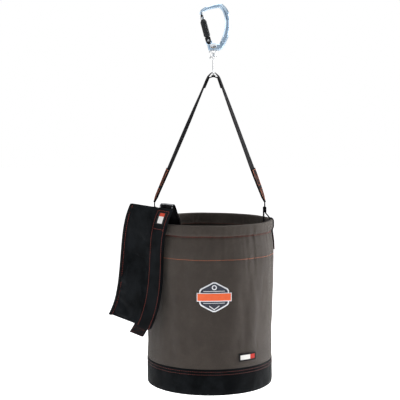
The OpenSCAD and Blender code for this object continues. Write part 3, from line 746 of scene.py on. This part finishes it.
inner += [(wall_in - ply, 0.064), (wall_in - ply, 0.03), (wall_in - ply, 0.0105)]
body_shell = ring_up("canvas_body_cloth", outer + top + inner, 288)
for v in body_shell.data.vertices:
    angle = math.atan2(v.co.x - axis_x, -v.co.y)
    v.co += way_out(angle) * slack(angle, v.co.z - foot_z)
    v.co.z += rim_wave(angle, v.co.z - foot_z)
wrap_uv(body_shell)
put(body_shell, canvas, "bucket", "canvas", "canvas_body")


def wall_spot(angle, up, radius):
    """A point on the slack wall and its way out, at a radius that the true round has there."""
    way = way_out(angle)
    return Vector((axis_x, 0, foot_z + up)) + way * (radius + slack(angle, up)), way


def seam_round(name, up, radius, thread, inside=False, **sizes):
    """A row of stitches right round the wall."""
    spots, outs = [], []
    for k in range(361):
        angle = 2 * pi * k / 360 + pi
        p, way = wall_spot(angle, up, radius)
        p.z += rim_wave(angle, up)
        spots.append(p)
        outs.append(-way if inside else way)
    stitches(name, spots, outs, "bucket", thread, slot="canvas", **sizes)


# ---------------------------------------------------------------------------
# Seams of the body. Seam one, a row of dark red thread outside and one
# inside, closes the rolled rim; seam two, in orange, holds the facing's foot.
# The thick beads of seam one's outer row, and a second such row just above it,
# are painted shade: they darken the line under the rim's lip.
# ---------------------------------------------------------------------------
dark_thread = thread_finish("dark_red_thread", (92, 34, 26), (124, 52, 38))
# painted shade: these thick outer beads and the upper row above them darken the line under the rim's lip
seam_round("seam_one_outside", 0.3868, 0.1555, dark_thread, thick=0.0014)
seam_round("seam_one_shade_row", 0.3896, 0.1557, dark_thread, thick=0.0014)
seam_round("seam_one_inside", seam_one, 0.1523, dark_thread, inside=True)
seam_round("seam_two_outside", seam_two, swell - 0.0005, orange_thread, thick=0.0011)
seam_round("seam_two_inside", 0.3352, swell - 2 * ply - 0.0004, orange_thread, inside=True)

# ---------------------------------------------------------------------------
# Rim hoop and base board. The hoop is a strip of white polyethylene closed
# in the rim; the board is a moulded dark polyethylene tray in the bottom.
# ---------------------------------------------------------------------------
hoop_plastic, place, _ = finish("hoop_plastic", Subsurface_Weight=0.1,
                                Subsurface_Radius=(0.002, 0.002, 0.002))
feed(hoop_plastic, Base_Color=place.grain(60, 3).between(tint(226, 226, 220), tint(240, 240, 236)),
     Roughness=place.grain(300, 3) * 0.3 + 0.3)
board_plastic, place, _ = finish("board_plastic")
pebble = place.node("TexVoronoi", {}, Vector=place, Scale=700.0)
scuff = place.node("Mapping", {}, Vector=place, Scale=(1, 0.15, 1)).grain(240, 4).step(0.64, 0.05)
feed(board_plastic, Base_Color=scuff.between(tint(33, 36, 38), tint(58, 61, 63)),
     Roughness=scuff * 0.2 + 0.45,
     Normal=pebble.bump(0.35, 0.0003))
wear_on("rim_hoop", hoop_plastic)
wear_on("base_board", board_plastic)

# ---------------------------------------------------------------------------
# Base cover. Black coated cloth over the bucket's foot, sewn on by two rows
# of dark red stitches below its turned top edge. The bottom disc is let in
# with a narrow welt at the corner.
# ---------------------------------------------------------------------------
coated, place, uv = finish("black_cover", Coat_Roughness=0.45, Specular_IOR_Level=0.03)
warp, weft = uv.part("X"), uv.part("Y")
fine = warp.wave(0.0010) * weft.wave(0.0010)
handled = place.grain(14, 5, 0.65)
speck = place.grain(900, 3)
feed(coated, Base_Color=handled.step(0.52, 0.14).between(tint(6, 8, 10), tint(17, 20, 23)),
     Roughness=handled * 0.35 + speck * 0.2 + 0.32, Coat_Weight=handled.step(0.5, 0.2) * 0.05,
     Normal=(fine * 0.35 + speck * 0.5 + handled * 2.0).bump(0.55, 0.0005))
lip, base_row_low, base_row_high = base_r - 0.0018, 0.053, 0.06
cover_rings = [(0.004, 0.0), (0.03, 0.0), (0.07, 0.0), (0.11, 0.0), (0.14, 0.0), (0.1465, 0.0001)]
cover_rings += [(0.150 + 0.009 * sin(math.radians(a)), 0.009 - 0.009 * cos(math.radians(a)))
                for a in (10, 20, 30, 40)]
cover_rings += [(0.1574, 0.0032), (0.1583, 0.0042), (0.1587, 0.0054), (0.1583, 0.0066), (0.1586, 0.0076),
                (0.1589, 0.009)]
cover_rings += [(base_r, 0.009 + 0.0043 * k) for k in range(1, 10)]
cover_rings += [(base_r, 0.0515), (base_r - 0.0003, base_row_low), (base_r, 0.0545), (base_r, 0.0585),
                (base_r - 0.0003, base_row_high), (base_r, 0.0615), (base_r + 0.0002, 0.064),
                (base_r - 0.0003, 0.0654), (base_r - 0.0009, 0.066),
                (lip, 0.0655), (lip, 0.06), (lip, 0.03), (lip, 0.009), (0.1550, 0.004), (0.150, 0.0018),
                (0.11, 0.0018), (0.06, 0.0018), (0.004, 0.0018)]
cover = ring_up("base_cover_cloth", cover_rings, 240)


def base_wave(angle, up):
    around = way_out(angle)
    soft = noise.noise(around * 2.4 + Vector((0, 3, up * 9))) * 0.0011
    ripple = noise.noise(around * 9 + Vector((6, 0, up * 30))) * 0.0007
    return (soft + ripple) * ease(up / 0.012) * ease((0.07 - up) / 0.02) + ripple * 0.5


for v in cover.data.vertices:
    reach = math.hypot(v.co.x - axis_x, v.co.y)
    angle = math.atan2(v.co.x - axis_x, -v.co.y)
    if reach > lip + 0.0003 and v.co.z > foot_z + 0.003:
        v.co += way_out(angle) * base_wave(angle, v.co.z - foot_z)
    elif v.co.z < foot_z + 0.0015:
        v.co.z += 0.0004 * max(0.0, noise.noise(v.co * 30))
wrap_uv(cover, 0.005)
put(cover, coated, "bucket", "black_cover", "base_cover")
for name, up in (("base_stitches_low", base_row_low), ("base_stitches_high", base_row_high)):
    spots, outs = [], []
    for k in range(361):
        angle = 2 * pi * k / 360 + pi
        way = way_out(angle)
        spots.append(Vector((axis_x, 0, foot_z + up)) + way * (base_r + base_wave(angle, up) - 0.0001))
        outs.append(way)
    stitches(name, spots, outs, "bucket", dark_thread, slot="black_cover")

# ---------------------------------------------------------------------------
# Tails. Below each fork one ply of the leg goes down inside the rim and one
# goes over it and down outside. Both are sewn through the wall in a box.
# ---------------------------------------------------------------------------
inside_r, tail_t, stitch_r = 0.1522, strap_t + 0.0008, strap_t / 2 + 0.0004
tail_off = strap_t + ply_gap
tail_in = base_r + 0.003 - 0.0018 * 2.5 - strap_t / 2
rim_out = 0.1586 + 0.0009 + strap_t / 2 + ply_gap
for s, word in SIDES:
    inside_line = flowing([Vector(p) for p in (
        (fork_r - tail_off, 0.446), (fork_r - tail_off, 0.43), (fork_r - tail_off + 0.001, 0.408),
        (inside_r - 0.007, 0.382), (tail_in - 0.004, 0.358), (tail_in - 0.0024, 0.34))], 8)
    outside_line = [Vector((fork_r + tail_off, 0.446)), Vector((fork_r + tail_off, 0.4385)),
                    Vector((fork_r + tail_off, 0.431))]
    outside_line += [Vector((hoop_r + (rim_out - hoop_r) * cos(math.radians(a)),
                             hoop_up + (rim_out - hoop_r) * sin(math.radians(a))))
                     for a in range(110, -1, -11)]
    outside_line += flowing([Vector(p) for p in (
        (rim_out, 0.397), (0.1582, 0.388), (0.1612, 0.364), (0.1626, 0.34))], 8)
    for side, flat in (("inner", inside_line), ("outer", outside_line)):
        line = [Vector((axis_x + s * p.x, 0, foot_z + p.y)) for p in flat]
        tail = webbing(side + "_tail_" + word + "_web", line, [Vector((0, 1, 0))] * len(line), tail_t,
                       [strap_w] * len(line))
        put(tail, black_webbing, "bucket", "black_webbing", side + "_tail_" + word)
        low = [p for p in line if p.z < foot_z + 0.382]
        out = Vector((s if side == "outer" else -s, 0, 0))
        path = [p + Vector((0, 0.009, 0)) for p in low]
        path += [low[-1] + Vector((0, y, 0.002)) for y in (0.005, 0, -0.005)]
        path += [p + Vector((0, -0.009, 0)) for p in reversed(low)]
        path += [low[0] + Vector((0, y, 0)) for y in (-0.005, 0, 0.005)]
        path += [p + Vector((0, 0.009 - 0.018 * k / (len(low) - 1), 0)) for k, p in enumerate(low)]
        path = [p + out * stitch_r for p in path]
        stitches(side + "_tail_stitches_" + word, path, [out] * len(path), "bucket", red_thread,
                 0.0026, 0.0036, 0.0007)

# ---------------------------------------------------------------------------
# Badge. A moulded rubber badge sewn to the front: a wide hexagon with a
# silver edge, a navy field, an orange bar across it and a ring above the bar.
# ---------------------------------------------------------------------------
badge_silver, place, _ = finish("badge_silver", Metallic=0.25)
feed(badge_silver, Base_Color=place.grain(80, 3).between(tint(206, 208, 212), tint(232, 233, 236)),
     Roughness=place.grain(400, 3) * 0.3 + 0.3)
badge_navy, place, _ = finish("badge_navy")
feed(badge_navy, Base_Color=place.grain(60, 3).between(tint(22, 26, 40), tint(34, 40, 58)),
     Roughness=place.grain(500, 3) * 0.3 + 0.35,
     Normal=place.grain(1500, 2).bump(0.3, 0.0002))
badge_orange, place, _ = finish("badge_orange")
feed(badge_orange, Base_Color=place.grain(60, 3).between(tint(222, 84, 34), tint(238, 106, 48)),
     Roughness=place.grain(500, 3) * 0.3 + 0.35)
badge_at, badge_up = math.radians(3.5), 0.244


def plate(name, corners, low, high, made, rounding=0.0004):
    """A flat shape that is filled, raised, rounded and bent to the wall. Its corners are metres
    across and up from the badge's middle; low and high are its back and face above the wall."""
    bpy.ops.object.select_all(action="DESELECT")
    bpy.ops.mesh.primitive_circle_add(vertices=len(corners), fill_type="NGON", radius=0.01)
    thing = bpy.context.object
    thing.name = thing.data.name = name
    for v, (x, y) in zip(thing.data.vertices, corners):
        v.co = (x, y, low)
    bpy.ops.object.mode_set(mode="EDIT")
    bpy.ops.mesh.select_all(action="SELECT")
    bpy.ops.mesh.extrude_region_move(TRANSFORM_OT_translate={"value": (0, 0, high - low)})
    turn_outwards()
    reshape(thing, "BEVEL", width=rounding, segments=2, limit_method="ANGLE")
    bpy.ops.object.mode_set(mode="EDIT")
    for k in range(-14, 15):
        bpy.ops.mesh.select_all(action="SELECT")
        bpy.ops.mesh.bisect(plane_co=(k * 0.003 + 0.0001, 0, 0), plane_no=(1, 0, 0))
    for k in range(-6, 7):
        bpy.ops.mesh.select_all(action="SELECT")
        bpy.ops.mesh.bisect(plane_co=(0, k * 0.006 + 0.0001, 0), plane_no=(0, 1, 0))
    bpy.ops.object.mode_set(mode="OBJECT")
    for v in thing.data.vertices:
        angle, up = badge_at + v.co.x / swell, badge_up + v.co.y
        spot, way = wall_spot(angle, up, swell + 0.0004)
        v.co = spot + way * v.co.z
    thing.data.shade_smooth()
    thing.select_set(True)
    bpy.ops.object.shade_smooth_by_angle(angle=math.radians(40))
    thing.select_set(False)
    return put(thing, made, "bucket", "badge")


def hexagon(wide, tall, cut):
    """A six-sided outline with pointed top and foot, its corners slightly blunted."""
    half, up, blunt = wide / 2, tall / 2, 0.09
    side = up - cut
    rough = [(half, side), (0.0, up), (-half, side), (-half, -side), (0.0, -up), (half, -side)]
    out = []
    for k, (x, y) in enumerate(rough):
        for other in (rough[k - 1], rough[(k + 1) % 6]):
            out.append((mix(x, other[0], blunt), mix(y, other[1], blunt)))
    return out[::-1]


def oblong(half, tall, up=0.0):
    return [(-half, up - tall), (-half, up + tall), (half, up + tall), (half, up - tall)]


backing = plate("badge_edge", hexagon(0.072, 0.076, 0.019), 0.0, 0.0009, badge_silver)
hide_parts("front_badge")
plate("badge_field", hexagon(0.066, 0.069, 0.0175), 0.0006, 0.0014, badge_navy)
plate("badge_bar_edge", oblong(0.042, 0.0105), 0.0004, 0.0017, badge_silver)
plate("badge_bar", oblong(0.0402, 0.0087), 0.001, 0.0023, badge_orange)
for name, up in (("badge_rule_high", 0.0145), ("badge_rule_low", -0.0145)):
    plate(name, oblong(0.026, 0.0006, up), 0.001, 0.0018, badge_silver, 0.0002)
ring_r, ring_rise = 0.0062, 0.0235
ring = [(ring_r * cos(2 * pi * k / 24), ring_rise + ring_r * sin(2 * pi * k / 24)) for k in range(24)]
plate("badge_ring", ring, 0.001, 0.0019, badge_silver)
plate("badge_ring_hole", [(x * 0.6, ring_rise + (y - ring_rise) * 0.6) for x, y in ring], 0.0014, 0.0021,
      badge_navy, 0.0002)
chevron = [(0.012, -0.02), (0, -0.029), (-0.012, -0.02), (-0.012, -0.0225), (0, -0.0315), (0.012, -0.0225)]
plate("badge_chevron", chevron, 0.001, 0.0018, badge_silver, 0.0002)

# ---------------------------------------------------------------------------
# Woven label. A small folded damask label sewn low on the wall: a dark edge,
# a white field and a red end, with no lettering.
# ---------------------------------------------------------------------------
woven, place, uv = finish("woven", Specular_IOR_Level=0.15)
u, v_up = uv.part("X"), uv.part("Y")
edge = u.maths("ABSOLUTE", u - 0.5).step(0.42, 0.006)
edge = edge.maths("MAXIMUM", edge, v_up.maths("ABSOLUTE", v_up - 0.5).step(0.30, 0.015))
damask = u.maths("SINE", u * 420.0) * v_up.maths("SINE", v_up * 160.0)
field = u.step(0.63, 0.004).between(tint(226, 224, 220), tint(176, 44, 34))
feed(woven, Base_Color=edge.between(field, tint(14, 12, 14)), Roughness=damask * 0.08 + 0.6,
     Normal=damask.bump(0.5, 0.0002))


def sewn_patch(name, turn, up, wide, tall, radius, thick, columns, rows, node, made, slot_name):
    """A patch of cloth laid on the slack wall, with its own UV from 0 to 1."""
    bpy.ops.object.select_all(action="DESELECT")
    bpy.ops.mesh.primitive_grid_add(x_subdivisions=columns, y_subdivisions=rows, size=1, calc_uvs=True)
    patch = bpy.context.object
    patch.name = patch.data.name = name
    for v in patch.data.vertices:
        v.co, _ = wall_spot(turn + v.co.x * wide / radius, up + v.co.y * tall, radius)
    bpy.ops.object.mode_set(mode="EDIT")
    turn_outwards()
    first = patch.data.polygons[0]
    if first.normal.dot(first.center - Vector((axis_x, 0, foot_z + up))) < 0:
        patch.data.flip_normals()
    reshape(patch, "SOLIDIFY", thickness=thick, offset=1)
    reshape(patch, "BEVEL", width=thick * 0.35, segments=2, limit_method="ANGLE")
    patch.data.shade_smooth()
    patch.select_set(False)
    return put(patch, made, "bucket", slot_name, node)


sewn_patch("woven_label_cloth", math.radians(35), 0.092, 0.052, 0.019, swell - 0.0014, 0.0012, 26, 10,
           "woven_label", woven, "woven")

# ---------------------------------------------------------------------------
# Back seam tape. The wall's one upright seam is at the back, under a strip
# of the same canvas with a row of stitches along each edge.
# ---------------------------------------------------------------------------
tape = sewn_patch("back_seam_tape_cloth", pi, 0.1995, 0.02, 0.247, swell + 0.0002, 0.0013, 6, 64,
                  "back_seam_tape", canvas, "canvas")
wrap_uv(tape)
for name, off in (("back_stitches_left", -0.0072), ("back_stitches_right", 0.0072)):
    spots, outs = [], []
    for k in range(62):
        spot, way = wall_spot(pi + off / swell, 0.079 + 0.241 * k / 61, swell + 0.0014)
        spots.append(spot)
        outs.append(way)
    stitches(name, spots, outs, "bucket", dark_thread, slot="canvas")

# ---------------------------------------------------------------------------
# Cover hanger. A doubled tab of webbing that holds the folded cover: it is
# sewn to the cover's top, goes over the rim and is pressed by grey loop tape
# to the inside of the facing.
# ---------------------------------------------------------------------------
grey_thread = thread_finish("grey_thread", (150, 152, 156), (196, 198, 202), 0.4)
loop_pile, place, _ = finish("loop_pile", Sheen_Weight=0.6)
pile = place.node("TexVoronoi", {}, Vector=place, Scale=1300.0)
feed(loop_pile, Base_Color=pile.step(0.35, 0.3).between(tint(196, 197, 200), tint(140, 142, 146)),
     Roughness=pile * 0.2 + 0.75, Normal=pile.bump(0.9, 0.0008))
turn = math.radians(48)
flap_out = Vector((-cos(turn), -sin(turn), 0))
flap_back = Vector((-sin(turn), cos(turn), 0))
hanger_w, hanger_t, hanger_off, flap_off = 0.046, 0.0018, 0.026, -0.032
hanger_flat = flowing([Vector(p) for p in (
    (0.164, 0.039), (0.1634, 0.044), (0.1582, 0.047), (hoop_r - 0.008, 0.024), (hoop_r - 0.015, 0.010),
    (hoop_r - 0.016, -0.008), (hoop_r - 0.013, -0.034))], 7)
hanger_line = [Vector((axis_x, 0, rim_z)) + flap_back * (flap_off + hanger_off) + flap_out * p.x
               + Vector((0, 0, p.y)) for p in hanger_flat]
hanger = webbing("cover_hanger_web", hanger_line, [flap_back] * len(hanger_line), hanger_t,
                 [hanger_w] * len(hanger_line))
put(hanger, black_webbing, "bucket", "black_webbing", "cover_hanger")
facing_up = 1 if flap_back.cross(tangents(hanger_line)[12]).z > 0 else -1
for name, off in (("hanger_stitches_back", 0.0195), ("hanger_stitches_front", -0.0195)):
    row = [p + flap_back * off for p in hanger_line]
    outs = [flap_back.cross(d).normalized() * facing_up for d in tangents(hanger_line)]
    row = [p + out * hanger_t / 2 for p, out in zip(row, outs)]
    stitches(name, row, outs, "bucket", grey_thread, 0.0046, 0.006, 0.0019)
inner_way = -1 if flap_back.cross(tangents(hanger_line)[-1]).dot(flap_out) > 0 else 1
pile_line = hanger_line[10:39]
pad = webbing("loop_tape_pile", pile_line, [flap_back] * len(pile_line), 0.0014, [0.042] * len(pile_line),
              inner_way * 0.0019)
put(pad, loop_pile, "bucket", "loop_pile", "cover_hanger_loop_tape")

# ---------------------------------------------------------------------------
# Folded top cover. The cover is black coated cloth over thin foam, folded
# double and hung outside the rim. It puffs a little between its seams, which
# are the bound edge at the left, the band at the right and the top fold.
# ---------------------------------------------------------------------------
flap_h, flap_w, flap_top = 0.303, 0.140, rim_z + 0.038
flap_clear = base_r + 0.003 + strap_t + 0.0015


def flap_spot(v, across, out):
    """A point on the hanging cover: v runs down it, across runs left over it, out is from its back."""
    lean = 0.062 * (0.5 + 4 * (v - 0.5) ** 3)
    return (Vector((axis_x, 0, flap_top - flap_h * v + across * (0.05 + 0.09 * v)))
            + flap_back * (flap_off + across * (1 + 0.05 * v) + lean)
            + flap_out * (flap_clear + out + 0.018 * v * v + 0.0012 * sin(9 * v + 14 * across)))


def flap_sheet(name, v0, v1, a0, a1, out, columns, rows):
    """A layer of the cover: a grid laid at a distance from its back. Its UV is metres across and down."""
    bpy.ops.object.select_all(action="DESELECT")
    bpy.ops.mesh.primitive_grid_add(x_subdivisions=columns, y_subdivisions=rows, size=1, calc_uvs=True)
    thing = bpy.context.object
    thing.name = thing.data.name = name
    layer = thing.data.uv_layers.active
    for spot in layer.data:
        spot.uv = (spot.uv.x * (a1 - a0), spot.uv.y * (v1 - v0) * flap_h)
    for v in thing.data.vertices:
        v.co = flap_spot(mix(v0, v1, v.co.y + 0.5), mix(a0, a1, v.co.x + 0.5), out)
    bpy.ops.object.mode_set(mode="EDIT")
    turn_outwards()
    if thing.data.polygons[0].normal.dot(flap_out) < 0:
        thing.data.flip_normals()
    return thing


columns, rows = 40, 84
fold = flap_sheet("cover_fold", 0.0, 0.98, 0.0, flap_w - 0.0015, 0.0002, columns, rows)
held = fold.vertex_groups.new(name="held")
for v in fold.data.vertices:
    column, row = v.index % (columns + 1), v.index // (columns + 1)
    across = column / columns * (flap_w - 0.0015)
    down = row / rows
    firm = across < 0.044 or across > 0.129 or down < 0.03 or down > 0.985
    held.add([v.index], 1.0 if firm else 0.0, "REPLACE")
reshape(fold, "SOLIDIFY", thickness=0.0062, offset=1)
before = [v.co.copy() for v in fold.data.vertices]
cloth = fold.modifiers.new("puff", "CLOTH")
set_up = cloth.settings
set_up.quality, set_up.mass, set_up.air_damping = 5, 0.25, 4
set_up.tension_stiffness = set_up.compression_stiffness = 12
set_up.bending_stiffness, set_up.shrink_min = 0.35, -0.035
set_up.use_pressure, set_up.uniform_pressure_force = True, 2.2
set_up.effector_weights.gravity = 0
set_up.vertex_group_mass = "held"
cloth.collision_settings.use_collision = False
for number in range(1, 19):
    bpy.context.scene.frame_set(number)
bpy.context.view_layer.update()
seen = fold.evaluated_get(bpy.context.evaluated_depsgraph_get())
after = [v.co.copy() for v in seen.data.vertices]
fold.modifiers.remove(cloth)
bpy.context.scene.frame_set(1)
for v, a, b in zip(fold.data.vertices, before, after):
    move = b - a
    limit = 0.0055 if (a - before[0]).dot(flap_out) > 0.002 and v.normal.dot(flap_out) > 0 else 0.0016
    v.co = a + move * min(1.0, limit / max(move.length, 1e-6))
reshape(fold, "SUBSURF", levels=1, render_levels=1)
fold.data.shade_smooth()
fold.select_set(False)
put(fold, coated, "cover", "black_cover", "cover_front", "cover_back")

# ---------------------------------------------------------------------------
# Edge binding. The cover's free left edge is bound with folded grosgrain,
# caught by one row of red stitches.
# ---------------------------------------------------------------------------
def flap_row(v0, v1, across0, across1, out, count=60):
    """Points of a row of stitches on the cover's face, and their way out."""
    spots = [flap_spot(mix(v0, v1, k / count), mix(across0, across1, k / count), out)
             for k in range(count + 1)]
    return spots, [flap_out] * len(spots)


def dress(thing, node, made, slot_name, thick, rounding):
    """Gives a layer of the cover its thickness outwards, its round edges and its finish."""
    reshape(thing, "SOLIDIFY", thickness=thick, offset=1)
    reshape(thing, "BEVEL", width=rounding, segments=3, limit_method="ANGLE")
    thing.data.shade_smooth()
    thing.select_set(False)
    put(thing, made, "cover", slot_name, node)


binding = flap_sheet("cover_edge_binding_tape", 0.002, 0.985, flap_w - 0.0075, flap_w + 0.001, -0.0004, 4, 84)
dress(binding, "cover_edge_binding", black_webbing, "black_webbing", 0.0079, 0.0024)
spots, outs = flap_row(0.006, 0.98, flap_w - 0.0102, flap_w - 0.0102, 0.0066, 90)
stitches("binding_stitches", spots, outs, "cover", red_thread, slot="black_webbing")

# ---------------------------------------------------------------------------
# Band. A smooth black strip sewn down the cover's right side, with a row of
# red stitches along each edge and a box of them at its top.
# ---------------------------------------------------------------------------
band = flap_sheet("cover_band_cloth", 0.012, 0.985, 0.001, 0.042, 0.0066, 12, 84)
dress(band, "cover_band", coated, "black_cover", 0.0016, 0.0005)
for name, across in (("band_stitches_left", 0.0395), ("band_stitches_right", 0.0038)):
    spots, outs = flap_row(0.018, 0.98, across, across, 0.0083, 90)
    stitches(name, spots, outs, "cover", red_thread, slot="black_cover")
for name, v in (("band_stitches_top", 0.02), ("band_stitches_cross", 0.17)):
    spots, outs = flap_row(v, v, 0.0038, 0.0395, 0.0083, 16)
    stitches(name, spots, outs, "cover", red_thread, slot="black_cover")

# ---------------------------------------------------------------------------
# Woven tag. A small damask tag at the band's top, orange-red above white,
# with no lettering, caught under the band's stitches.
# ---------------------------------------------------------------------------
tag_weave, _, uv = finish("woven_tag", Specular_IOR_Level=0.15)
u, v_up = uv.part("X"), uv.part("Y")
damask = u.wave(0.0009) * v_up.wave(0.0009)
edge = u.maths("ABSOLUTE", u - 0.013).step(0.0078, 0.0003)
edge = edge.maths("MAXIMUM", edge, v_up.maths("ABSOLUTE", v_up - 0.015).step(0.0128, 0.0003))
field = v_up.step(0.0105, 0.0004).between(tint(186, 62, 40), tint(216, 214, 212))
feed(tag_weave, Base_Color=edge.between(field, tint(14, 12, 14)),
     Roughness=damask * 0.08 + 0.6, Normal=damask.bump(0.5, 0.0002))
tag = flap_sheet("cover_woven_tag_cloth", 0.03, 0.13, 0.008, 0.034, 0.00825, 10, 12)
dress(tag, "cover_woven_tag", tag_weave, "woven", 0.0007, 0.0002)

# ---------------------------------------------------------------------------
# Pull tab. The band's end is folded back under the cover's foot and sewn to
# a thick square with a box stitch.
# ---------------------------------------------------------------------------
tab = flap_sheet("cover_pull_tab_web", 0.976, 0.992 + 0.020 / flap_h, 0.010, 0.054, 0.0005, 14, 8)
dress(tab, "cover_pull_tab", black_webbing, "black_webbing", 0.005, 0.0022)
box = [(0.0, 0.2), (1.0, 0.2), (1.0, 0.85), (0.0, 0.85), (0.0, 0.2), (1.0, 0.85)]
spots = []
for (x0, y0), (x1, y1) in zip(box, box[1:]):
    spots += [flap_spot(mix(0.985, 1.058, mix(y0, y1, k / 10)),
                        mix(0.0145, 0.0495, mix(x0, x1, k / 10)), 0.0055) for k in range(10)]
stitches("tab_stitches", spots, [flap_out] * len(spots), "cover", dark_thread, 0.0026, 0.0048, 0.0006)

low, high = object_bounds()
